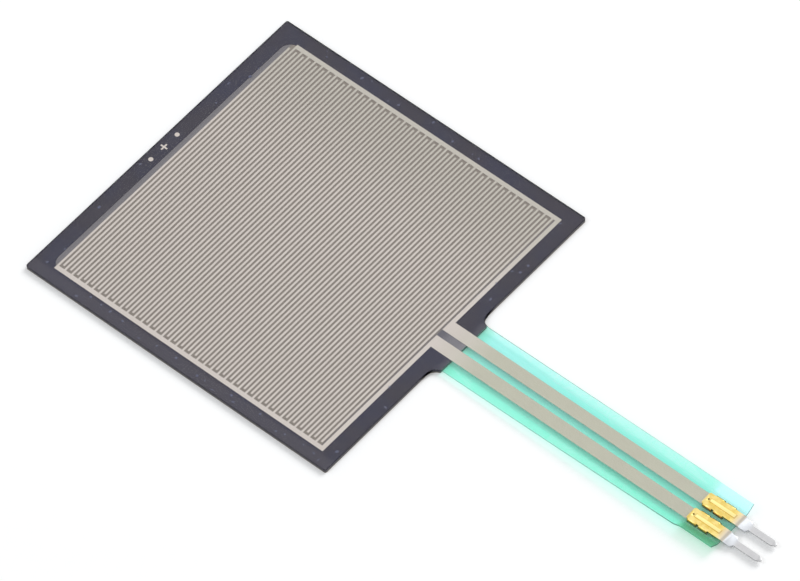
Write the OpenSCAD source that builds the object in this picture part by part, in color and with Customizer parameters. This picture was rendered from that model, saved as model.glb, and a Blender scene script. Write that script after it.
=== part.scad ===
// Square force-sensing resistor with a flexible tail and two crimped solder contacts.
// Millimetres. The origin is the centre of the pad's underside, +Z is up and +X runs along the tail.

/* [Pad] */
// Side of the square pad
pad_w = 43.69; // [40:0.01:60]
// Radius of the pad's corners
pad_corner_r = 0.25; // [0.1:0.05:1.5]
// Border of spacer adhesive along the pad's three free sides
border_w = 1.92; // [1.2:0.01:3]
// Border of spacer adhesive on the tail's side
tail_border_w = 2.1; // [1.2:0.01:3]
// Radius of the opening's corners
opening_r = 1.4; // [0.3:0.1:4]
// Width of the vent channel through the neck
vent_w = 1.4; // [1:0.1:2.2]

/* [Tail] */
// Width of the tail
tail_w = 7.62; // [7:0.01:12]
// Length of the tail from the pad's edge to the film's end
tail_len = 39; // [20:0.05:60]
// Radius where the tail joins the pad
neck_r = 1.4; // [0.5:0.1:3]
// How far base film and spacer reach into the tail
neck_len = 0.95; // [0.3:0.05:3]
// Angle that the tail's side edges curl up by before the contacts
curl_free = 21; // [4:1:40]
// Angle that the side edges curl up by beside the contacts
curl_crimped = 32; // [6:1:50]

/* [Layers] */
// Thickness of the release liner
liner_t = 0.1; // [0.05:0.01:0.2]
// Thickness of the mounting adhesive
rear_adhesive_t = 0.05; // [0.03:0.01:0.15]
// Thickness of the base film
base_film_t = 0.13; // [0.1:0.01:0.25]
// Thickness of the carbon ink
carbon_t = 0.02; // [0.01:0.005:0.05]
// Thickness of the spacer adhesive
spacer_t = 0.13; // [0.1:0.01:0.25]
// Thickness of the top film
top_film_t = 0.13; // [0.1:0.01:0.25]
// Thickness of the silver ink
silver_t = 0.015; // [0.01:0.005:0.03]
// Thickness of the green coat on the tail
coat_t = 0.035; // [0.035:0.005:0.08]

/* [Electrodes] */
// Distance from one finger to the next, which belongs to the other comb
finger_pitch = 0.508; // [0.45:0.002:0.51]
// Width of a finger
finger_w = 0.25; // [0.15:0.01:0.35]
// Least distance from the combs to the opening's far side
comb_margin = 0.3; // [0.1:0.05:1]
// Width of the bus that carries a comb's fingers
bus_w = 0.55; // [0.3:0.01:0.9]
// Gap between a finger's tip and the other comb's bus
tip_gap = 0.33; // [0.15:0.01:0.6]
// Width of the buses that run in beside the tail
inner_bus_w = 0.52; // [0.3:0.01:0.9]
// Overlap of the buses on the spacer
bus_overlap = 0.12; // [0.05:0.01:0.4]
// Distance between the two traces, centre to centre
trace_pitch = 2.54; // [2.4:0.01:3]
// Width of a trace
trace_w = 1.59; // [1:0.01:1.65]
// Distance from the end of a trace to the film's end
trace_inset = 0.7; // [0.3:0.05:2]

/* [Contacts] */
// Thickness of the contact strip
strip_t = 0.2; // [0.12:0.01:0.25]
// Width of the contact's plate
plate_w = 1.62; // [1.4:0.01:1.8]
// Distance from the plate's front edge to the film's end
plate_inset = 4.8; // [4.4:0.05:8]
// Width over the tines
crimp_w = 2.02; // [1.95:0.01:2.2]
// Length of a tine along the tail
tine_len = 1.18; // [0.6:0.01:1.2]
// Gap between the tines of one side
tine_gap = 0.32; // [0.2:0.01:0.6]
// How far a clinched tine reaches in under the film
tine_reach = 0.42; // [0.3:0.01:0.6]
// Clearance of a slit round its tine
slit_fit = 0.02; // [0.01:0.005:0.05]
// Width of the raised bead at its foot
bead_w = 0.6; // [0.5:0.01:0.8]
// Width of the raised bead's flat top
bead_top_w = 0.34; // [0.26:0.01:0.4]
// Height of the raised bead above the plate
bead_h = 0.16; // [0.05:0.01:0.2]
// Length of the raised bead
bead_len = 3.6; // [1.5:0.05:3.7]
// Diameter of the pilot hole
pilot_d = 0.22; // [0.15:0.01:0.4]
// Width of the shoulder outside the film
shoulder_w = 1.5; // [1.2:0.01:1.6]
// Length of the shoulder
shoulder_len = 0.9; // [0.7:0.05:2]
// Width of a solder pin
pin_w = 0.76; // [0.5:0.01:1]
// Length of a solder pin beyond its shoulder
pin_len = 3.6; // [2:0.05:8]

/* [Hidden] */
$fn = 48;

// Heights of the layers' undersides
z_adhesive = liner_t;
z_base = z_adhesive + rear_adhesive_t;
z_carbon = z_base + base_film_t;
z_spacer = z_carbon + carbon_t;
z_film = z_spacer + spacer_t;
z_silver = z_film - silver_t;
z_coat = z_film - coat_t;
z_plate = z_film + top_film_t;

// Pad and tail along X
half_pad = pad_w / 2;
half_tail = tail_w / 2;
neck_end = half_pad + neck_len;
wing_clear = 0.3;
wing_start = half_pad + max(neck_r, neck_len) + wing_clear;
film_end = half_pad + tail_len;
opening_half = half_pad - border_w;
opening_end = half_pad - tail_border_w;

// Combs: as many fingers as the opening holds, and comb A's first finger is the one farthest from the tail
bus_edge = opening_half + bus_overlap;
inner_bus_x = opening_end + bus_overlap;
comb_room = inner_bus_x - inner_bus_w + opening_half - comb_margin;
fingers = floor(comb_room / (2 * finger_pitch));
first_finger_x = inner_bus_x - inner_bus_w - finger_gap() - finger_w / 2 - (2 * fingers - 1) * finger_pitch;
trace_y = trace_pitch / 2;
trace_end = film_end - trace_inset;

// Contacts, in their own frame: X = 0 is the plate's front edge and Z = 0 is the top of the film
contact_x = film_end - plate_inset;
film_depth = top_film_t + silver_t;
bend_in = 0.05;
bend_out = bend_in + strip_t;
first_tine_x = 0.27;
tine_step = tine_len + tine_gap;
tine_stagger = 0.5;
tine_root = 0.3;
plate_chamfer = 0.12;
joggle_drop = (top_film_t + strip_t) / 2;
joggle_gap = 0.3;
joggle_x = plate_inset + joggle_gap;
joggle_len = 0.22;
shoulder_x = joggle_x + joggle_len;
pin_x = shoulder_x + shoulder_len;
pin_tip_w = 0.34;
pin_taper = 0.55;
shoulder_cut = 0.22;
pilot_x = 0.42;
bead_x = 0.62;
bead_wall = 0.1;

// Overlap of shapes that are joined, and how far a cut runs past the faces that it opens
eps = 0.01;
cut_over = 0.5;

// The tail stays flat between its two curled wings, which start beyond the outer tines
wing_gap = 0.1;
flat_half = trace_y + crimp_w / 2 + wing_gap;
wing_w = half_tail - flat_half;

// Across a wing the film bends over this share of its width and runs on straight from there
bend_share = 0.25;
bend_steps = 4;

// The curl grows by a power along the free tail, and faster over a stretch where the contacts start
curl_power = 1.3;
change_x = contact_x - 0.6;
change_len = 1.3;
free_steps = 9;
change_steps = 5;

// Register marks on the border
mark_size = 0.95;
mark_line = 0.2;
mark_dot = 0.57;
mark_step = 2.2;
mark_x = -half_pad + border_w / 2;

// The clear gap between two neighbouring fingers
function finger_gap() = finger_pitch - finger_w;

// Rectangle with round corners, centred on the origin
module rounded_square(w, h, r) {
    offset_w = w / 2 - r;
    offset_h = h / 2 - r;
    square([w - 2 * r, h], center = true);
    square([w, h - 2 * r], center = true);
    for (sx = [-1, 1], sy = [-1, 1])
        translate([sx * offset_w, sy * offset_h]) circle(r);
}

// Outline that the pad and the start of the tail share, cut off at a given X
module pad_outline(end_x) {
    rounded_square(pad_w, pad_w, pad_corner_r);
    translate([0, -half_tail]) square([end_x, tail_w]);
    for (side = [-1, 1])
        intersection() {
            translate([half_pad, side * (half_tail + neck_r / 2)]) difference() {
                translate([-eps, -neck_r / 2]) square([neck_r + eps, neck_r]);
                translate([neck_r, side * neck_r / 2]) circle(neck_r);
            }
            translate([0, -half_pad]) square([end_x, pad_w]);
        }
}

// A layer of the laminate, from z for the thickness t
module layer(z, t) {
    translate([0, 0, z]) linear_extrude(t) children();
}

module release_liner() {
    color("#e9dfc8") layer(0, liner_t) pad_outline(neck_end);
}

module rear_adhesive() {
    color("#c9c3b4") layer(z_adhesive, rear_adhesive_t) pad_outline(neck_end);
}

module base_film() {
    color("#2d2d33") layer(z_base, base_film_t) pad_outline(neck_end);
}

module carbon_ink() {
    color("#55535a") layer(z_carbon, carbon_t) pad_outline(neck_end);
}

// The spacer is a frame: the opening lets the films meet, and the vent lets air out along the neck
module spacer_adhesive() {
    color("#4b4a55") difference() {
        layer(z_spacer, spacer_t) difference() {
            pad_outline(neck_end);
            translate([(opening_end - opening_half) / 2, 0])
                rounded_square(opening_half + opening_end, 2 * opening_half, opening_r);
            translate([opening_end - cut_over, -vent_w / 2])
                square([neck_end - opening_end + 2 * cut_over, vent_w]);
        }
        silver_pocket(-1);
        silver_pocket(1);
        layer(z_silver, 2 * silver_t) marks_outline();
    }
}

// Room that the silver takes out of the softer layers below it
module silver_pocket(side) {
    layer(z_silver, 2 * silver_t) electrode_outline(side);
}

// Comb, buses and trace of one electrode: side -1 is comb A and side 1 is comb B
module electrode_outline(side) {
    first = first_finger_x + (side > 0 ? finger_pitch : 0);
    root_y = side * (bus_edge - bus_w);
    tip_y = -side * (bus_edge - bus_w - tip_gap);
    for (i = [0 : fingers - 1])
        translate([first + 2 * i * finger_pitch - finger_w / 2, min(root_y + side * eps, tip_y)])
            square([finger_w, abs(root_y - tip_y) + eps]);
    translate([first - finger_w / 2, side > 0 ? bus_edge - bus_w : -bus_edge])
        square([inner_bus_x - first + finger_w / 2, bus_w]);
    trace_in = trace_y - trace_w / 2;
    translate([inner_bus_x - inner_bus_w, side > 0 ? trace_in : -bus_edge])
        square([inner_bus_w, bus_edge - trace_in]);
    translate([inner_bus_x - inner_bus_w, side * trace_y - trace_w / 2])
        square([trace_end - inner_bus_x + inner_bus_w, trace_w]);
}

module electrode_a() {
    color("#cdc5bd") layer(z_silver, silver_t) electrode_outline(-1);
}

module electrode_b() {
    color("#cdc5bd") layer(z_silver, silver_t) electrode_outline(1);
}

// Plain register marks on the border: a cross between two dots
module marks_outline() {
    translate([mark_x, 0]) {
        square([mark_size, mark_line], center = true);
        square([mark_line, mark_size], center = true);
        for (side = [-1, 1])
            translate([0, side * mark_step]) circle(d = mark_dot);
    }
}

module print_marks() {
    color("#cdc5bd") layer(z_silver, silver_t) marks_outline();
}

// Curl of the side edges at a place along the tail
function ramp(x, x0, x1) = let (u = min(max((x - x0) / (x1 - x0), 0), 1)) u * u * (3 - 2 * u);
function curl(x) = curl_free * pow(min(max((x - wing_start) / (contact_x - wing_start), 0), 1), curl_power)
    + (curl_crimped - curl_free) * ramp(x, change_x, change_x + change_len);

// A point of the tail's section: v runs over a wing from 0 at the flat strip to 1 at the film's edge
function wing_radius(x) = wing_w * bend_share / (curl(x) * PI / 180);
function tail_point(x, side, v, lift) = curl(x) == 0
    ? [x, side * (flat_half + v * wing_w), lift]
    : let (a = curl(x) * min(v / bend_share, 1), r = wing_radius(x), s = max(v - bend_share, 0) * wing_w)
        [x, side * (flat_half + r * sin(a) + s * cos(a) - lift * sin(a)),
            r * (1 - cos(a)) + s * sin(a) + lift * cos(a)];

// The sheet's rows across the tail, and its columns along it
wing_rows = concat([for (i = [0 : bend_steps]) bend_share * i / bend_steps], [1]);
tail_rows = concat([for (i = [len(wing_rows) - 1 : -1 : 0]) [-1, wing_rows[i]]], [for (v = wing_rows) [1, v]]);
tail_columns = concat(
    [for (i = [0 : free_steps]) wing_start + (change_x - wing_start) * i / free_steps],
    [for (i = [1 : change_steps]) change_x + change_len * i / change_steps],
    [film_end]);

// The curled tail as a slab between two offsets from the film's underside
module tail_sheet(low, high) {
    rows = len(tail_rows);
    columns = len(tail_columns);
    ring = 2 * rows;
    points = [for (x = tail_columns, k = [0 : ring - 1])
        let (row = tail_rows[k < rows ? k : ring - 1 - k])
        tail_point(x, row[0], row[1], k < rows ? low : high)];
    skin = [for (c = [0 : columns - 2], k = [0 : ring - 1], half = [0, 1])
        let (a = c * ring + k, b = c * ring + (k + 1) % ring, a1 = a + ring, b1 = b + ring)
        k < rows
            ? (half == 0 ? [a, a1, b] : [b, a1, b1])
            : (half == 0 ? [a, a1, b1] : [a, b1, b])];
    last = (columns - 1) * ring;
    caps = [for (k = [0 : rows - 2], half = [0, 1])
        let (a = k, b = k + 1, c0 = ring - 1 - k, c1 = ring - 2 - k)
        half == 0 ? [a, b, c0] : [b, c1, c0]];
    translate([0, 0, z_film])
        polyhedron(points, concat(skin, caps, [for (f = caps) [last + f[0], last + f[2], last + f[1]]]));
}

module top_film() {
    color("#e4f4f0", 0.4) difference() {
        union() {
            layer(z_film, top_film_t) pad_outline(wing_start);
            tail_sheet(0, top_film_t);
        }
        slits();
    }
}

module tail_coat() {
    color("#8fe8cd") difference() {
        union() {
            layer(z_coat, coat_t) intersection() {
                pad_outline(wing_start);
                translate([neck_end, -half_pad]) square([wing_start - neck_end, pad_w]);
            }
            tail_sheet(-coat_t, 0);
        }
        silver_pocket(-1);
        silver_pocket(1);
        slits();
        clinch_pockets();
    }
}

// Where the tines of one side start: the far side's are staggered, so that their tips pass each other
function tine_starts(side) = [for (i = [0 : 1]) first_tine_x + i * tine_step + (side > 0 ? tine_stagger : 0)];

// Slits in the film, one round each tine
module slits() {
    for (s = [-1, 1], side = [-1, 1], x = tine_starts(side))
        translate([contact_x + x - slit_fit, s * trace_y, z_coat - cut_over])
            translate([0, side > 0 ? crimp_w / 2 - bend_out - slit_fit : -crimp_w / 2 - slit_fit, 0])
                cube([tine_len + 2 * slit_fit, bend_out + 2 * slit_fit, z_plate - z_coat + 2 * cut_over]);
}

// Room in the coat for the clinched ends of the tines
module clinch_pockets() {
    reach = crimp_w / 2 - clinch_tip_y() + slit_fit;
    for (s = [-1, 1], side = [-1, 1], x = tine_starts(side))
        translate([contact_x + x - slit_fit, s * trace_y, z_film - cut_over])
            translate([0, side > 0 ? crimp_w / 2 - reach : -crimp_w / 2, 0])
                cube([tine_len + 2 * slit_fit, reach, cut_over]);
}

function clinch_tip_y() = crimp_w / 2 - bend_out - tine_reach;

// Quarter of a bent strip, with its centre of bending at the origin
module bend(turn) {
    rotate(turn) intersection() {
        difference() {
            circle(bend_out);
            circle(bend_in);
        }
        square(bend_out + eps);
    }
}

// Section of one tine on the +Y side: bent down, through the film and clinched in under it
module tine_section() {
    side_y = crimp_w / 2 - bend_out;
    low = -film_depth - bend_in;
    translate([plate_w / 2 - tine_root, 0]) square([side_y - plate_w / 2 + tine_root, strip_t]);
    translate([side_y, -bend_in]) bend(0);
    translate([crimp_w / 2 - strip_t, low]) square([strip_t, -bend_in - low]);
    translate([side_y, low]) bend(-90);
    translate([side_y - tine_reach, low - bend_out]) square([tine_reach, strip_t]);
}

module tines() {
    for (side = [-1, 1], x = tine_starts(side))
        translate([x, 0, 0]) mirror([0, side > 0 ? 0 : 1, 0])
            rotate([90, 0, 90]) linear_extrude(tine_len) tine_section();
}

// A bead with sloping sides and ends, on a foot at height z, drawn in by an inset all round
module bead_form(z, inset) {
    foot = bead_w / 2 - inset;
    top = bead_top_w / 2 - inset;
    x0 = bead_x + inset;
    x1 = bead_x + bead_len - inset;
    root = strip_t / 2;
    translate([0, 0, z]) intersection() {
        rotate([90, 0, 90]) linear_extrude(plate_inset)
            polygon([[-foot, -root], [-foot, 0], [-top, bead_h], [top, bead_h], [foot, 0], [foot, -root]]);
        rotate([90, 0, 0]) linear_extrude(2 * bead_w, center = true)
            polygon([[x0, -root], [x0, 0], [x0 + foot - top, bead_h], [x1 - foot + top, bead_h], [x1, 0], [x1, -root]]);
    }
}

// Side view of the strip from the plate over the joggle to the pin's tip
module strip_side_view() {
    x_end = pin_x + pin_len;
    polygon([[0, 0], [joggle_x, 0], [shoulder_x, -joggle_drop], [x_end, -joggle_drop],
        [x_end, strip_t - joggle_drop], [shoulder_x, strip_t - joggle_drop], [joggle_x, strip_t], [0, strip_t]]);
}

// Plan of the strip: plate, shoulder and pin with its tapered tip
module strip_plan() {
    x_end = pin_x + pin_len;
    half = [[0, plate_w / 2 - plate_chamfer], [plate_chamfer, plate_w / 2], [joggle_x, plate_w / 2],
        [shoulder_x, shoulder_w / 2], [pin_x - shoulder_cut, shoulder_w / 2], [pin_x, pin_w / 2],
        [x_end - pin_taper, pin_w / 2], [x_end - pin_tip_w / 2, pin_tip_w / 2]];
    polygon(concat(half, [for (i = [len(half) - 1 : -1 : 0]) [half[i][0], -half[i][1]]]));
    translate([x_end - pin_tip_w / 2, 0]) circle(d = pin_tip_w);
}

module contact() {
    difference() {
        union() {
            intersection() {
                rotate([90, 0, 0]) linear_extrude(2 * plate_w, center = true) strip_side_view();
                translate([0, 0, -joggle_drop - cut_over])
                    linear_extrude(joggle_drop + strip_t + 2 * cut_over) strip_plan();
            }
            bead_form(strip_t, 0);
            tines();
        }
        bead_form(0, bead_wall);
        translate([pilot_x, 0, -cut_over]) cylinder(d = pilot_d, h = strip_t + 2 * cut_over);
    }
}

module contact_a() {
    color("#f2d364") translate([contact_x, -trace_y, z_plate]) contact();
}

module contact_b() {
    color("#f2d364") translate([contact_x, trace_y, z_plate]) contact();
}

release_liner();
rear_adhesive();
base_film();
carbon_ink();
spacer_adhesive();
electrode_a();
electrode_b();
print_marks();
tail_coat();
top_film();
contact_a();
contact_b();
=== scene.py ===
"""Looks of a square force-sensing resistor: printed films, a translucent tail and crimped contacts."""
import math

import bmesh
import bpy
from mathutils import Matrix, Vector


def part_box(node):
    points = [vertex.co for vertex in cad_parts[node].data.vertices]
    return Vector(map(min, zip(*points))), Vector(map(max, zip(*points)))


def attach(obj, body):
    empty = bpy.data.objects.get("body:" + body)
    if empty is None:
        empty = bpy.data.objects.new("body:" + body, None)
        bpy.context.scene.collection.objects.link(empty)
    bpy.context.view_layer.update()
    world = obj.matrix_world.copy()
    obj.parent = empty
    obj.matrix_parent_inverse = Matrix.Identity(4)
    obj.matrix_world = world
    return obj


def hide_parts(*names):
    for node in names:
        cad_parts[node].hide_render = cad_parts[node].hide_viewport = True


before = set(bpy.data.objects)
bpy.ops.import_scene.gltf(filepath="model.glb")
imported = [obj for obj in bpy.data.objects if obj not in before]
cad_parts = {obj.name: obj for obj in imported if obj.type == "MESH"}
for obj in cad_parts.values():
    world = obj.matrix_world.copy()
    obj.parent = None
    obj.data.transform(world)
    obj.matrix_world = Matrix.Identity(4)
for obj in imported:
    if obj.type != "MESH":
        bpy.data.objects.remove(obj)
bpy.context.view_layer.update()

MM = 0.001
scene = bpy.context.scene

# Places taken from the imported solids, in metres
_, film_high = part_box("top_film")
_, spacer_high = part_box("spacer_adhesive")
_, ink_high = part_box("carbon_ink")
_, contact_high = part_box("contact_a")
comb_low, comb_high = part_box("electrode_a")
film_underside = spacer_high.z
ink_top = ink_high.z
film_end = film_high.x
pad_half = film_high.y
comb_edge = -comb_low.x
comb_high_y = max(-comb_low.y, comb_high.y)

# The light on the paper: shares of a full white exposure, and what is added where the paper is seen
SURROUND_SHARE = 0.55
KEY_SHARE = 0.36
SIDE_SHARE = 0.08
PAPER_LIFT = 0.13
LAMP_DISTANCE = 1.2
LAMP_AIM = Vector((10, 0, 0)) * MM

# Each piece is drawn smaller than its solid by this much on every side, so that no two faces share a plane
LAYER_GAP = 0.0015 * MM
# Corners of a solid's loose triangles that lie nearer than this are one, in metres
MERGE_DISTANCE = 1e-7
# The spacer's top is drawn lower by this much, so that blisters fit between it and the film
BLISTER_ROOM = 0.006 * MM
# Room left between the raised ink and what it comes near, and the opening's corners: radius and steps
INK_CLEARANCE = 0.015 * MM
OPENING_RADIUS = 1.4 * MM
OPENING_STEPS = 8
# Blisters keep this far from the sheet's edge and the buses, from the comb's ends, and from the tail's middle
BLISTER_MARGIN = 0.4 * MM
COMB_END_MARGIN = 0.5 * MM
NECK_MARGIN = 4.6 * MM
# The smallest blister's length, width and thickness as shares of the largest one's
SMALLEST_BLISTER = (0.35, 0.35, 0.6)
# Rounding of the stamped contacts' edges
STAMPED_EDGE = 0.02 * MM

# The photograph's view: a long lens from the side of the tail's end
VIEW_AIM = Vector((12.38, 1.48, 0.56)) * MM
VIEW_AZIMUTH = 134.09
VIEW_ELEVATION = 53.74
VIEW_ROLL = -4.1
VIEW_DISTANCE = 1084 * MM
VIEW_LENS = 446.0


def srgb(code):
    """Linear colour of an sRGB hex code, with an alpha of 1."""
    parts = [int(code[i:i + 2], 16) / 255 for i in (1, 3, 5)]
    return [p / 12.92 if p <= 0.04045 else ((p + 0.055) / 1.055) ** 2.4 for p in parts] + [1.0]


def add(tree, kind, inputs=(), **settings):
    """A node of a shader or geometry tree, with its settings, and inputs given as values or links."""
    made = tree.nodes.new(kind)
    for key, value in settings.items():
        setattr(made, key, value)
    for key, value in dict(inputs).items():
        if isinstance(value, bpy.types.NodeSocket):
            tree.links.new(value, made.inputs[key])
        else:
            made.inputs[key].default_value = value
    return made


def finish_named(name, shader_of):
    """A material whose surface is the shader that shader_of builds in its tree."""
    material = bpy.data.materials.new(name)
    material.use_nodes = True
    tree = material.node_tree
    tree.nodes.clear()
    add(tree, "ShaderNodeOutputMaterial", {"Surface": shader_of(tree)})
    return material


def object_noise(tree, size, detail=2.0, stretch=(1, 1, 1)):
    """Noise on Object coordinates whose patches are about size metres across."""
    place = add(tree, "ShaderNodeTexCoord").outputs["Object"]
    turned = add(tree, "ShaderNodeMapping", {"Vector": place, "Scale": stretch})
    return add(tree, "ShaderNodeTexNoise",
               {"Vector": turned.outputs[0], "Scale": 1 / size, "Detail": detail}).outputs["Fac"]


def blend_colours(tree, factor, first, second):
    """Colour that runs from first to second with a factor."""
    return add(tree, "ShaderNodeMix", {"Factor": factor, 6: first, 7: second},
               data_type="RGBA").outputs[2]


def bumped(tree, height, depth):
    """A normal bumped by a height map whose full range is depth metres."""
    return add(tree, "ShaderNodeBump", {"Height": height, "Distance": depth, "Strength": 1.0}).outputs[0]


def span(tree, value, low, high, out_low=0.0, out_high=1.0):
    """Value mapped smoothly from low..high to out_low..out_high."""
    return add(tree, "ShaderNodeMapRange",
               {"Value": value, "From Min": low, "From Max": high, "To Min": out_low, "To Max": out_high},
               interpolation_type="SMOOTHSTEP").outputs[0]


def film_gloss(tree, face_on, normal):
    """How much of the light a film's upper face mirrors: little face on, and more at a slant."""
    facing = add(tree, "ShaderNodeLayerWeight", {"Blend": 0.5, "Normal": normal}).outputs["Facing"]
    slant = add(tree, "ShaderNodeMath", {0: facing, 1: 5.0}, operation="POWER").outputs[0]
    # The layers that the film lies on mirror at a slant too, so its own share of that is small
    share = add(tree, "ShaderNodeMath", {0: slant, 1: 0.3, 2: face_on},
                operation="MULTIPLY_ADD").outputs[0]
    # Only the upper face meets the air: inks and adhesive wet the other
    upper = span(tree, normal_rise(tree), -0.1, 0.1)
    return add(tree, "ShaderNodeMath", {0: share, 1: upper}, operation="MULTIPLY").outputs[0]


def normal_rise(tree):
    """How far the surface faces up: 1 on a sheet's top, 0 on a wall and -1 underneath."""
    normal = add(tree, "ShaderNodeTexCoord").outputs["Normal"]
    return add(tree, "ShaderNodeSeparateXYZ", {0: normal}).outputs[2]


def upright(tree):
    """1 on the faces that stand upright, which are a sheet's cut edges, and 0 on its broad faces."""
    level = add(tree, "ShaderNodeMath", {0: normal_rise(tree)}, operation="ABSOLUTE").outputs[0]
    return span(tree, level, 0.6, 0.4)


def object_axis(tree, axis):
    """Object coordinate along an axis: 0 for X, 1 for Y and 2 for Z."""
    place = add(tree, "ShaderNodeTexCoord").outputs["Object"]
    return add(tree, "ShaderNodeSeparateXYZ", {0: place}).outputs[axis]


def clear_polyester(tree):
    """Drawn polyester film: clear and glossy, with the faint ripple that a rolled web keeps.

    The knife frosts its cut edge, so that the outline of the clear tail shows as a fine line. Towards the
    end that the crimps bend, the line is darker with painted shade."""
    normal = bumped(tree, object_noise(tree, 9 * MM, stretch=(0.5, 1, 1)), 0.02 * MM)
    mirror = add(tree, "ShaderNodeBsdfGlossy",
                 {"Color": srgb("#ffffff"), "Roughness": 0.16, "Normal": normal})
    clear = add(tree, "ShaderNodeBsdfTransparent", {"Color": srgb("#ffffff")})
    along = object_axis(tree, 0)
    # Over the pad the layers that the film lies on carry most of its gloss, which keeps the render clean
    face_on = span(tree, along, pad_half, pad_half + 1 * MM, 0.002, 0.022)
    sheet = add(tree, "ShaderNodeMixShader",
                {0: film_gloss(tree, face_on, normal), 1: clear.outputs[0], 2: mirror.outputs[0]})
    ragged = object_noise(tree, 0.15 * MM)
    frost = blend_colours(tree, ragged, srgb("#9dc0b7"), srgb("#bcd9d1"))
    frost_with_end_shade = blend_colours(tree, ragged, srgb("#4c6a62"), srgb("#6f9087"))
    dark = blend_colours(tree, ragged, srgb("#232228"), srgb("#3a3940"))
    # It looks dark as far as the dark layers below it reach
    tone = blend_colours(tree, span(tree, along, spacer_high.x, spacer_high.x + 0.4 * MM), dark, frost)
    # Towards the crimped end the cut edge carries painted shade
    tone = blend_colours(tree, span(tree, along, film_end - 12 * MM, film_end - 1 * MM), tone, frost_with_end_shade)
    cut = add(tree, "ShaderNodeBsdfDiffuse", {"Color": tone})
    return add(tree, "ShaderNodeMixShader",
               {0: upright(tree), 1: sheet.outputs[0], 2: cut.outputs[0]}).outputs[0]


def silver_ink(tree):
    """Screen-printed silver flake ink: a warm pale grey, satin, with the grain of its flakes."""
    # The flakes are a few microns across. The grain is drawn ten times as coarse, so that it shows.
    grain = object_noise(tree, 0.05 * MM, 3)
    cloud = object_noise(tree, 2.5 * MM)
    # On the clear tail nothing dark backs the traces, and the green coat behind them tints them a little
    tail = span(tree, object_axis(tree, 0), comb_edge, pad_half + 5 * MM)
    pad_tone = blend_colours(tree, cloud, srgb("#cfc6c0"), srgb("#c8bfb8"))
    # Towards the far edge it's drawn a little darker
    far = span(tree, object_axis(tree, 1), 6 * MM, comb_high_y)
    pad_tone = blend_colours(tree, far, pad_tone, srgb("#b8b3a9"))
    tail_tone = blend_colours(tree, cloud, srgb("#b5b6a1"), srgb("#adac99"))
    tone = blend_colours(tree, tail, pad_tone, tail_tone)
    colour = blend_colours(tree, span(tree, grain, 0.35, 0.75, 0.0, 0.35), tone, srgb("#d2cbc4"))
    return add(tree, "ShaderNodeBsdfPrincipled",
               {"Base Color": colour, "Metallic": 0.2, "Roughness": 0.55,
                "Normal": bumped(tree, grain, 0.003 * MM)}).outputs[0]


def green_dielectric(tree):
    """Screen-printed dielectric ink: a translucent mint glaze with slight streaks along the print.

    Its tint is deeper towards one long side and at its start beside the pad, both painted shade; paler on the
    wing beside the contacts on the other side, which is painted light; and deepest on the wing beside the
    crimps, where the contacts' shadow is painted."""
    streak = object_noise(tree, 1.6 * MM, 3, stretch=(0.12, 1, 1))
    # Deeper towards the near long side and paler towards the far one: painted shade and light
    across = span(tree, object_axis(tree, 1), -2 * MM, 2 * MM)
    wing = span(tree, object_axis(tree, 0), film_end - 5.3 * MM, film_end - 4.3 * MM)
    towards_end = span(tree, object_axis(tree, 0), pad_half, film_end - 8 * MM)
    shaded_side_tint = blend_colours(tree, towards_end, srgb("#dafff7"), srgb("#d3fef4"))
    lit_side_tint = blend_colours(tree, towards_end, srgb("#e3fffd"), srgb("#d9fff9"))
    # On the near wing a painted shadow of the contacts, and on the far wing painted light
    contact_shadow_wing = blend_colours(tree, wing, shaded_side_tint, srgb("#bdedd8"))
    lit_wing = blend_colours(tree, wing, lit_side_tint, srgb("#e4ffff"))
    lit_and_shaded_tint = blend_colours(tree, across, contact_shadow_wing, lit_wing)
    # At its start beside the pad, a painted shadow of the laminate's end
    start = span(tree, object_axis(tree, 0), pad_half + 3 * MM, pad_half + 0.5 * MM, 0.0, 0.8)
    lit_and_shaded_tint = blend_colours(tree, start, lit_and_shaded_tint, srgb("#cbf6ea"))
    tint = blend_colours(tree, span(tree, streak, 0.3, 0.8, 0.0, 0.3), lit_and_shaded_tint, srgb("#ebfffc"))
    body = blend_colours(tree, streak, srgb("#c0fff0"), srgb("#b0fae6"))
    through = add(tree, "ShaderNodeBsdfTransparent", {"Color": tint})
    glow = add(tree, "ShaderNodeBsdfTranslucent", {"Color": body})
    face = add(tree, "ShaderNodeBsdfDiffuse", {"Color": body, "Roughness": 0.3})
    haze = add(tree, "ShaderNodeMixShader", {0: 0.5, 1: face.outputs[0], 2: glow.outputs[0]})
    return add(tree, "ShaderNodeMixShader",
               {0: 0.03, 1: through.outputs[0], 2: haze.outputs[0]}).outputs[0]


def spacer_acrylic(tree):
    """Blue-black acrylic adhesive that wets the clear film, so that it looks deep and a little mottled."""
    mottle = object_noise(tree, 1.4 * MM, 3)
    drift = object_noise(tree, 7 * MM)
    plum = blend_colours(tree, mottle, srgb("#302d39"), srgb("#3c3843"))
    colour = blend_colours(tree, span(tree, drift, 0.4, 0.65, 0.0, 0.7), plum, srgb("#303146"))
    # Along the near edge it's drawn lighter
    near = span(tree, object_axis(tree, 1), -comb_high_y, -comb_high_y - 0.6 * MM, 0.0, 0.6)
    colour = blend_colours(tree, near, colour, srgb("#4b4852"))
    return add(tree, "ShaderNodeBsdfPrincipled",
               {"Base Color": colour, "Roughness": 0.25, "IOR": 1.47,
                "Normal": bumped(tree, mottle, 0.0015 * MM)}).outputs[0]


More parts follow.
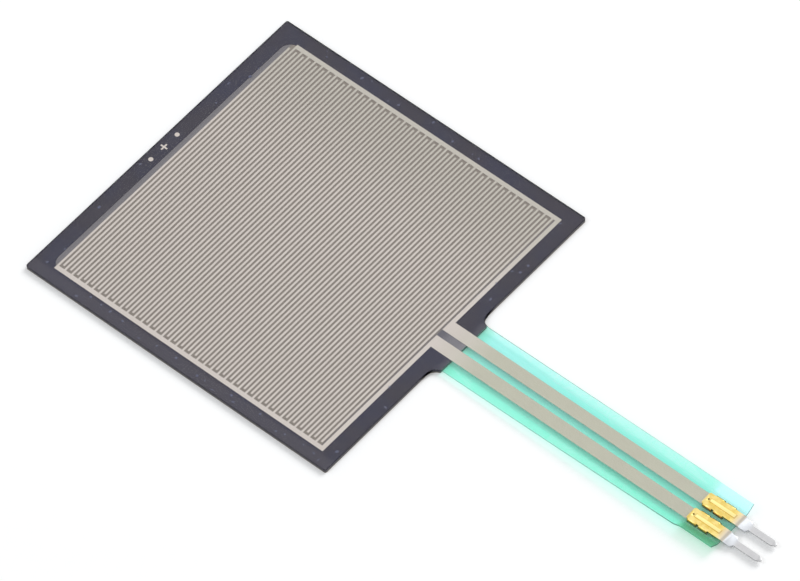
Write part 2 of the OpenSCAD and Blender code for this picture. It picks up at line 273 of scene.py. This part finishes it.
def carbon_ink(tree):
    """Semiconductive carbon ink: matte grey with a fine tooth of pigment, seen under the film's sheen.

    Between the fingers it looks paler and warmer, because the silver throws its light into the film. In the
    mouth of the vent it's dark, and it gets paler towards the tail, where light comes in through the film."""
    tooth = object_noise(tree, 0.08 * MM, 3)
    bare = blend_colours(tree, tooth, srgb("#706d71"), srgb("#787579"))
    lit = blend_colours(tree, tooth, srgb("#827a73"), srgb("#8b837b"))
    mouth = blend_colours(tree, tooth, srgb("#5d5b64"), srgb("#66646d"))
    vent_end = blend_colours(tree, tooth, srgb("#75737a"), srgb("#7e7c82"))
    along = object_axis(tree, 0)
    under_combs = add(tree, "ShaderNodeMath",
                      {0: span(tree, along, -comb_edge - 0.2 * MM, -comb_edge + 0.2 * MM),
                       1: span(tree, along, comb_edge + 0.2 * MM, comb_edge - 0.2 * MM)}, operation="MULTIPLY")
    vent = blend_colours(tree, span(tree, along, comb_edge + 0.2 * MM, comb_edge + 2 * MM), mouth, vent_end)
    colour = blend_colours(tree, span(tree, along, -1 * MM, 1 * MM), bare, vent)
    colour = blend_colours(tree, under_combs.outputs[0], colour, lit)
    return add(tree, "ShaderNodeBsdfPrincipled",
               {"Base Color": colour, "Roughness": 0.5, "IOR": 1.5, "Specular IOR Level": 0.4,
                "Normal": bumped(tree, tooth, 0.003 * MM)}).outputs[0]


def black_polyester(tree):
    """Black polyester base film, seen only at the laminate's cut edge."""
    ripple = object_noise(tree, 0.7 * MM)
    colour = blend_colours(tree, ripple, srgb("#26262c"), srgb("#303037"))
    return add(tree, "ShaderNodeBsdfPrincipled",
               {"Base Color": colour, "Roughness": 0.35, "IOR": 1.6,
                "Normal": bumped(tree, ripple, 0.004 * MM)}).outputs[0]


def mounting_acrylic(tree):
    """Soft acrylic transfer adhesive: milky, but dark at its ragged cut edge beside the black film."""
    ragged = object_noise(tree, 0.3 * MM, 3)
    milky = blend_colours(tree, ragged, srgb("#b9b4a4"), srgb("#cbc6b8"))
    colour = blend_colours(tree, upright(tree), milky, srgb("#4a4643"))
    return add(tree, "ShaderNodeBsdfPrincipled",
               {"Base Color": colour, "Roughness": 0.4, "IOR": 1.47,
                "Normal": bumped(tree, ragged, 0.01 * MM)}).outputs[0]


def release_paper(tree):
    """Siliconised kraft liner: pale tan paper with its fibres under a thin shine, and painted shade on its cut
    edge.
    """
    fibre = object_noise(tree, 0.5 * MM, 5, stretch=(0.25, 1, 1))
    cloud = object_noise(tree, 5 * MM, 3)
    tone = blend_colours(tree, cloud, srgb("#e2d6bb"), srgb("#eadfc8"))
    face = blend_colours(tree, span(tree, fibre, 0.5, 0.8, 0.0, 0.6), tone, srgb("#cbbb98"))
    # The cut edge is drawn browner: painted shade
    colour = blend_colours(tree, upright(tree), face, srgb("#6a5f52"))
    return add(tree, "ShaderNodeBsdfPrincipled",
               {"Base Color": colour, "Roughness": 0.42, "IOR": 1.45,
                "Normal": bumped(tree, fibre, 0.01 * MM)}).outputs[0]


# The gold flash covers the crimped end only, and thins out over this stretch before the film's end
PLATING_FULL = film_end - 1.0 * MM
PLATING_GONE = film_end + 0.05 * MM
# Level of the crimped plate's face
PLATE_TOP = contact_high.z - 0.16 * MM


def plated_strip(tree):
    """Phosphor bronze strip with gold flash on the crimp and dull tin on the pin, with drawn rolling lines."""
    cloud = object_noise(tree, 0.6 * MM, 3)
    # The cloud shifts the border between the two platings by up to this much either way
    stray = 0.4 * MM
    drift = add(tree, "ShaderNodeMath", {0: cloud, 1: stray, 2: object_axis(tree, 0)},
                operation="MULTIPLY_ADD").outputs[0]
    bare = span(tree, drift, PLATING_FULL + stray / 2, PLATING_GONE + stray / 2)
    flat_gold = blend_colours(tree, span(tree, cloud, 0.35, 0.65), srgb("#f0da8c"), srgb("#e2c66c"))
    # The crest of the bead carries a painted highlight, and the drawn foot of the bead and the sheared walls
    # carry painted shade
    height = object_axis(tree, 2)
    foot = span(tree, height, PLATE_TOP + 0.01 * MM, PLATE_TOP + 0.03 * MM)
    crest_highlight = span(tree, height, contact_high.z - 0.09 * MM, contact_high.z - 0.02 * MM)
    wall_shade = span(tree, height, PLATE_TOP - 0.03 * MM, PLATE_TOP - 0.06 * MM)
    gold = blend_colours(tree, foot, flat_gold, srgb("#cfa445"))
    gold = blend_colours(tree, crest_highlight, gold, srgb("#fbeba0"))
    gold = blend_colours(tree, wall_shade, gold, srgb("#bd9646"))
    # Past the gold the strip is bare and cream, and beige over the bend, which is painted shade. Beyond it's
    # tinned, and the shoulder is paler than the pin, which is painted light
    along = object_axis(tree, 0)
    bend_shade = span(tree, along, film_end - 0.25 * MM, film_end + 0.1 * MM)
    shoulder = span(tree, along, film_end + 0.2 * MM, film_end + 0.4 * MM)
    pin = span(tree, along, film_end + 1.1 * MM, film_end + 1.8 * MM)
    bronze_and_bend_shade = blend_colours(tree, bend_shade, srgb("#dccfb8"), srgb("#aba498"))
    lit_shoulder_tin = blend_colours(tree, cloud, srgb("#bfc2c7"), srgb("#cdd0d4"))
    dull = blend_colours(tree, cloud, srgb("#c2c2c3"), srgb("#b0b0b2"))
    tin = blend_colours(tree, shoulder, bronze_and_bend_shade, blend_colours(tree, pin, lit_shoulder_tin, dull))
    lines = object_noise(tree, 0.06 * MM, 2, stretch=(0.06, 1, 1))
    return add(tree, "ShaderNodeBsdfPrincipled",
               {"Base Color": blend_colours(tree, bare, gold, tin), "Metallic": 1.0,
                "Roughness": span(tree, along, film_end - 0.2 * MM, film_end + 0.3 * MM, 0.3, 0.42),
                "Normal": bumped(tree, lines, 0.002 * MM)}).outputs[0]


def trapped_air(tree):
    """Air trapped between film and adhesive: flat blisters that look pale and bluish, with a silvery shine."""
    patch = object_noise(tree, 0.15 * MM)
    colour = blend_colours(tree, patch, srgb("#4c4e60"), srgb("#6b6e85"))
    return add(tree, "ShaderNodeBsdfPrincipled",
               {"Base Color": colour, "Roughness": 0.35, "IOR": 1.3}).outputs[0]


def seen_directly(tree):
    """1 for the rays that show the surround itself: those of the camera, of gloss and through glass."""
    rays = add(tree, "ShaderNodeLightPath").outputs
    seen = add(tree, "ShaderNodeMath", {0: rays["Is Camera Ray"], 1: rays["Is Glossy Ray"]},
               operation="MAXIMUM").outputs[0]
    return add(tree, "ShaderNodeMath", {0: seen, 1: rays["Is Transmission Ray"]},
               operation="MAXIMUM").outputs[0]


def studio_paper(tree):
    """White studio paper under the object, lifted to a full white where it is seen."""
    fibre = object_noise(tree, 1.5 * MM, 3)
    paper = add(tree, "ShaderNodeBsdfDiffuse",
                {"Color": blend_colours(tree, fibre, srgb("#ffffff"), srgb("#fdfdfd")), "Roughness": 0.5})
    lift = add(tree, "ShaderNodeMath", {0: seen_directly(tree), 1: PAPER_LIFT}, operation="MULTIPLY")
    glow = add(tree, "ShaderNodeEmission", {"Color": srgb("#ffffff"), "Strength": lift.outputs[0]})
    return add(tree, "ShaderNodeAddShader", {0: paper.outputs[0], 1: glow.outputs[0]}).outputs[0]


def dress(node, piece, material, edge=0.0):
    """A copy of a CAD node's mesh, merged and drawn in by the layer gap, that stands for the node.

    edge rounds the sharp edges by that much."""
    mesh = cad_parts[node].data.copy()
    mesh.name = piece
    work = bmesh.new()
    work.from_mesh(mesh)
    bmesh.ops.remove_doubles(work, verts=work.verts, dist=MERGE_DISTANCE)
    bmesh.ops.dissolve_limit(work, angle_limit=math.radians(0.5), verts=work.verts, edges=work.edges)
    bmesh.ops.triangulate(work, faces=work.faces)
    work.normal_update()
    work.to_mesh(mesh)
    work.free()
    made = bpy.data.objects.new(piece, mesh)
    scene.collection.objects.link(made)
    if edge:
        bevel = made.modifiers.new("stamped edge", "BEVEL")
        bevel.width = edge
        bevel.segments = 2
        bevel.limit_method = "ANGLE"
        bevel.angle_limit = math.radians(40)
        bevel.use_clamp_overlap = True
        plain(made)
    inset = bmesh.new()
    inset.from_mesh(made.data)
    inset.normal_update()
    bmesh.ops.recalc_face_normals(inset, faces=inset.faces)
    low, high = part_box(node)
    middle = (low + high) / 2
    for vertex in inset.verts:
        for axis in (0, 1, 2):
            offset = vertex.co[axis] - middle[axis]
            half = (high[axis] - low[axis]) / 2
            vertex.co[axis] = middle[axis] + offset * (half - LAYER_GAP) / half
    inset.to_mesh(made.data)
    inset.free()
    made.data.materials.clear()
    made.data.materials.append(material)
    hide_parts(node)
    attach(made, "root")
    return made


def plain(made):
    """Applies an object's modifiers, so that it is a plain mesh."""
    result = bpy.data.meshes.new_from_object(made.evaluated_get(bpy.context.evaluated_depsgraph_get()))
    made.modifiers.clear()
    made.data = result


def smooth(made, angle):
    """Smooth shading over edges that turn by less than an angle in degrees, with broad faces kept flat."""
    for face in made.data.polygons:
        face.use_smooth = True
    made.data.set_sharp_from_angle(angle=math.radians(angle))
    weighed = made.modifiers.new("flat faces", "WEIGHTED_NORMAL")
    weighed.keep_sharp = True
    plain(made)


def blister_tree(material):
    """Geometry Nodes that strew flat blisters over strips, as thickly as each strip's crowding says."""
    tree = bpy.data.node_groups.new("strewn blisters", "GeometryNodeTree")
    tree.interface.new_socket("Strips", in_out="INPUT", socket_type="NodeSocketGeometry")
    for name in ("Most per area", "Least spacing", "Length", "Width", "Thickness"):
        tree.interface.new_socket(name, in_out="INPUT", socket_type="NodeSocketFloat")
    tree.interface.new_socket("Seed", in_out="INPUT", socket_type="NodeSocketInt")
    tree.interface.new_socket("Blisters", in_out="OUTPUT", socket_type="NodeSocketGeometry")
    given = add(tree, "NodeGroupInput").outputs
    crowding = add(tree, "GeometryNodeInputNamedAttribute", {"Name": "crowding"}, data_type="FLOAT").outputs[0]
    points = add(tree, "GeometryNodeDistributePointsOnFaces",
                 {"Mesh": given["Strips"], "Distance Min": given["Least spacing"],
                  "Density Max": given["Most per area"], "Density Factor": crowding, "Seed": given["Seed"]},
                 distribute_method="POISSON").outputs["Points"]
    blister = add(tree, "GeometryNodeMeshIcoSphere", {"Radius": 0.5, "Subdivisions": 2}).outputs["Mesh"]
    size = add(tree, "FunctionNodeRandomValue",
               {"Min": SMALLEST_BLISTER, "Max": (1, 1, 1), "Seed": given["Seed"]},
               data_type="FLOAT_VECTOR").outputs[0]
    largest = add(tree, "ShaderNodeCombineXYZ",
                  {0: given["Length"], 1: given["Width"], 2: given["Thickness"]}).outputs[0]
    scale = add(tree, "ShaderNodeVectorMath", {0: size, 1: largest}, operation="MULTIPLY").outputs[0]
    turn = add(tree, "FunctionNodeRandomValue", {"Max": (0, 0, math.tau), "Seed": given["Seed"]},
               data_type="FLOAT_VECTOR").outputs[0]
    strewn = add(tree, "GeometryNodeInstanceOnPoints",
                 {"Points": points, "Instance": blister, "Rotation": turn, "Scale": scale}).outputs[0]
    real = add(tree, "GeometryNodeRealizeInstances", {"Geometry": strewn}).outputs[0]
    made = add(tree, "GeometryNodeSetMaterial", {"Geometry": real, "Material": material}).outputs[0]
    add(tree, "NodeGroupOutput", {"Blisters": made})
    return tree


def raise_ink(layer):
    """Draws the carbon ink up to just under the fingers, because the film sags onto it inside the opening."""
    # At its foot the spacer has no points but those of its outline and of the opening
    foot = [v.co for v in spacer.data.vertices if v.co.z < ink_top + 2 * LAYER_GAP]
    inner = [c for c in foot if max(abs(c.x), abs(c.y)) < pad_half - 1 * MM]
    low_x, high_x = min(c.x for c in inner) + INK_CLEARANCE, max(c.x for c in inner) - INK_CLEARANCE
    half_y = max(c.y for c in inner) - INK_CLEARANCE
    vent_y = min(abs(c.y) for c in inner) - INK_CLEARANCE
    vent_x = ink_high.x - LAYER_GAP
    radius = OPENING_RADIUS
    right, left, far = high_x - radius, low_x + radius, half_y - radius
    outline = []
    for centre_x, centre_y, start in ((right, far, 0), (left, far, 90), (left, -far, 180), (right, -far, 270)):
        for step in range(OPENING_STEPS + 1):
            angle = math.radians(start + 90 * step / OPENING_STEPS)
            outline.append((centre_x + radius * math.cos(angle), centre_y + radius * math.sin(angle)))
    outline += [(high_x, -vent_y), (vent_x, -vent_y), (vent_x, vent_y), (high_x, vent_y)]
    work = bmesh.new()
    work.from_mesh(layer.data)
    ring = [work.verts.new((x, y, ink_top - 2 * LAYER_GAP)) for x, y in outline]
    top = [work.verts.new((x, y, comb_low.z - INK_CLEARANCE)) for x, y in outline]
    made = [work.faces.new(ring[::-1]), work.faces.new(top)]
    for i in range(len(ring)):
        j = (i + 1) % len(ring)
        made.append(work.faces.new((ring[i], ring[j], top[j], top[i])))
    bmesh.ops.triangulate(work, faces=made)
    work.to_mesh(layer.data)
    work.free()


def trap_blisters():
    """The blisters in the border's adhesive: most along the near edge, some along the others."""
    outer, inner = pad_half - BLISTER_MARGIN, comb_high_y + BLISTER_MARGIN
    comb_end = comb_edge + COMB_END_MARGIN
    level = film_underside - BLISTER_ROOM / 2
    # Two corners of each strip, and how crowded it is
    strips = [((-outer, -outer), (outer, -inner), 1.0),
              ((-outer, inner), (outer, outer), 0.5),
              ((-outer, -inner), (-comb_end, inner), 0.3),
              ((comb_end, -inner), (outer, -NECK_MARGIN), 0.5),
              ((comb_end, NECK_MARGIN), (outer, inner), 0.35)]
    corners, faces = [], []
    for (x0, y0), (x1, y1), _ in strips:
        faces.append([len(corners) + i for i in range(4)])
        corners += [(x0, y0, level), (x1, y0, level), (x1, y1, level), (x0, y1, level)]
    mesh = bpy.data.meshes.new("blisters")
    mesh.from_pydata(corners, [], faces)
    crowding = mesh.attributes.new("crowding", "FLOAT", "FACE")
    crowding.data.foreach_set("value", [share for _, _, share in strips])
    made = bpy.data.objects.new("blisters", mesh)
    scene.collection.objects.link(made)
    material = finish_named("trapped_air", trapped_air)
    strew = made.modifiers.new("strewn blisters", "NODES")
    strew.node_group = blister_tree(material)
    sizes = {"Most per area": 0.6 / MM ** 2, "Least spacing": 0.7 * MM, "Length": 0.5 * MM,
             "Width": 0.36 * MM, "Thickness": 0.8 * BLISTER_ROOM, "Seed": 11}
    for socket in strew.node_group.interface.items_tree:
        if socket.name in sizes:
            strew[socket.identifier] = sizes[socket.name]
    plain(made)
    for face in made.data.polygons:
        face.use_smooth = True
    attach(made, "root")


def set_camera():
    """The camera looks down its axis at the aim, rolled by a little, as the photograph was taken."""
    azimuth = math.radians(VIEW_AZIMUTH)
    elevation = math.radians(VIEW_ELEVATION)
    forward = Vector((math.cos(elevation) * math.cos(azimuth), math.cos(elevation) * math.sin(azimuth),
                      -math.sin(elevation)))
    data = bpy.data.cameras.new("camera")
    data.lens = VIEW_LENS
    data.sensor_width = 36
    data.clip_start = 10 * MM
    data.clip_end = 20
    camera = bpy.data.objects.new("camera", data)
    turn = forward.to_track_quat("-Z", "Y").to_matrix() @ Matrix.Rotation(math.radians(VIEW_ROLL), 3, "Z")
    camera.matrix_world = Matrix.Translation(VIEW_AIM - forward * VIEW_DISTANCE) @ turn.to_4x4()
    scene.collection.objects.link(camera)
    scene.camera = camera


def hang_lamp(name, share, size, azimuth, elevation, colour):
    """A round softbox that gives the paper its share of a white exposure."""
    azimuth, elevation = math.radians(azimuth), math.radians(elevation)
    away = Vector((math.cos(elevation) * math.cos(azimuth), math.cos(elevation) * math.sin(azimuth),
                   math.sin(elevation)))
    data = bpy.data.lights.new(name, "AREA")
    data.shape = "DISK"
    data.size = size
    data.color = srgb(colour)[:3]
    # A disk gives an irradiance of energy / (pi * distance^2) on a plane that faces it
    data.energy = share * math.pi * math.pi * LAMP_DISTANCE ** 2 / math.sin(elevation)
    lamp = bpy.data.objects.new(name, data)
    lamp.matrix_world = (Matrix.Translation(LAMP_AIM + away * LAMP_DISTANCE)
                         @ (-away).to_track_quat("-Z", "Y").to_matrix().to_4x4())
    scene.collection.objects.link(lamp)


def set_light():
    """An even white surround, a soft key from beyond the far edge, and a cool softbox from the left."""
    world = bpy.data.worlds.new("surround")
    world.use_nodes = True
    tree = world.node_tree
    tree.nodes.clear()
    soft = add(tree, "ShaderNodeBackground", {"Color": srgb("#ffffff"), "Strength": SURROUND_SHARE})
    white = add(tree, "ShaderNodeBackground", {"Color": srgb("#ffffff"), "Strength": 1.0})
    both = add(tree, "ShaderNodeMixShader",
               {0: seen_directly(tree), 1: soft.outputs[0], 2: white.outputs[0]})
    add(tree, "ShaderNodeOutputWorld", {"Surface": both.outputs[0]})
    scene.world = world
    hang_lamp("key", KEY_SHARE, 0.7, azimuth=86, elevation=38, colour="#ffffff")
    hang_lamp("side_softbox", SIDE_SHARE, 0.4, azimuth=233, elevation=50, colour="#e9f6ff")


def lay_floor():
    """A wide sheet of white paper at the level that the part rests on."""
    mesh = bpy.data.meshes.new("floor")
    half = 1.5
    mesh.from_pydata([(-half, -half, 0), (half, -half, 0), (half, half, 0), (-half, half, 0)], [],
                     [(0, 1, 2, 3)])
    floor = bpy.data.objects.new("floor", mesh)
    mesh.materials.append(finish_named("studio_paper", studio_paper))
    scene.collection.objects.link(floor)


set_camera()

film = dress("top_film", "film_sheet", finish_named("clear_polyester", clear_polyester))
silver = finish_named("silver_ink", silver_ink)
dress("electrode_a", "silver_comb_a", silver)
dress("electrode_b", "silver_comb_b", silver)
dress("print_marks", "silver_marks", silver)
coat = dress("tail_coat", "dielectric_glaze", finish_named("green_dielectric", green_dielectric))
spacer = dress("spacer_adhesive", "spacer_frame", finish_named("spacer_acrylic", spacer_acrylic))
# The spacer's top makes room for the blisters
for vertex in spacer.data.vertices:
    if vertex.co.z > film_underside - BLISTER_ROOM:
        vertex.co.z -= BLISTER_ROOM
trap_blisters()
carbon = dress("carbon_ink", "carbon_layer", finish_named("carbon_ink", carbon_ink))
raise_ink(carbon)
dress("base_film", "base_sheet", finish_named("black_polyester", black_polyester))
dress("rear_adhesive", "mounting_layer", finish_named("mounting_acrylic", mounting_acrylic))
dress("release_liner", "liner_sheet", finish_named("release_paper", release_paper))
plating = finish_named("plated_strip", plated_strip)
for letter in "ab":
    strip = dress("contact_" + letter, "crimp_contact_" + letter, plating,
                  edge=STAMPED_EDGE)
    smooth(strip, 35)
for sheet in (film, coat):
    smooth(sheet, 20)

set_light()
lay_floor()
scene.view_settings.view_transform = "Standard"
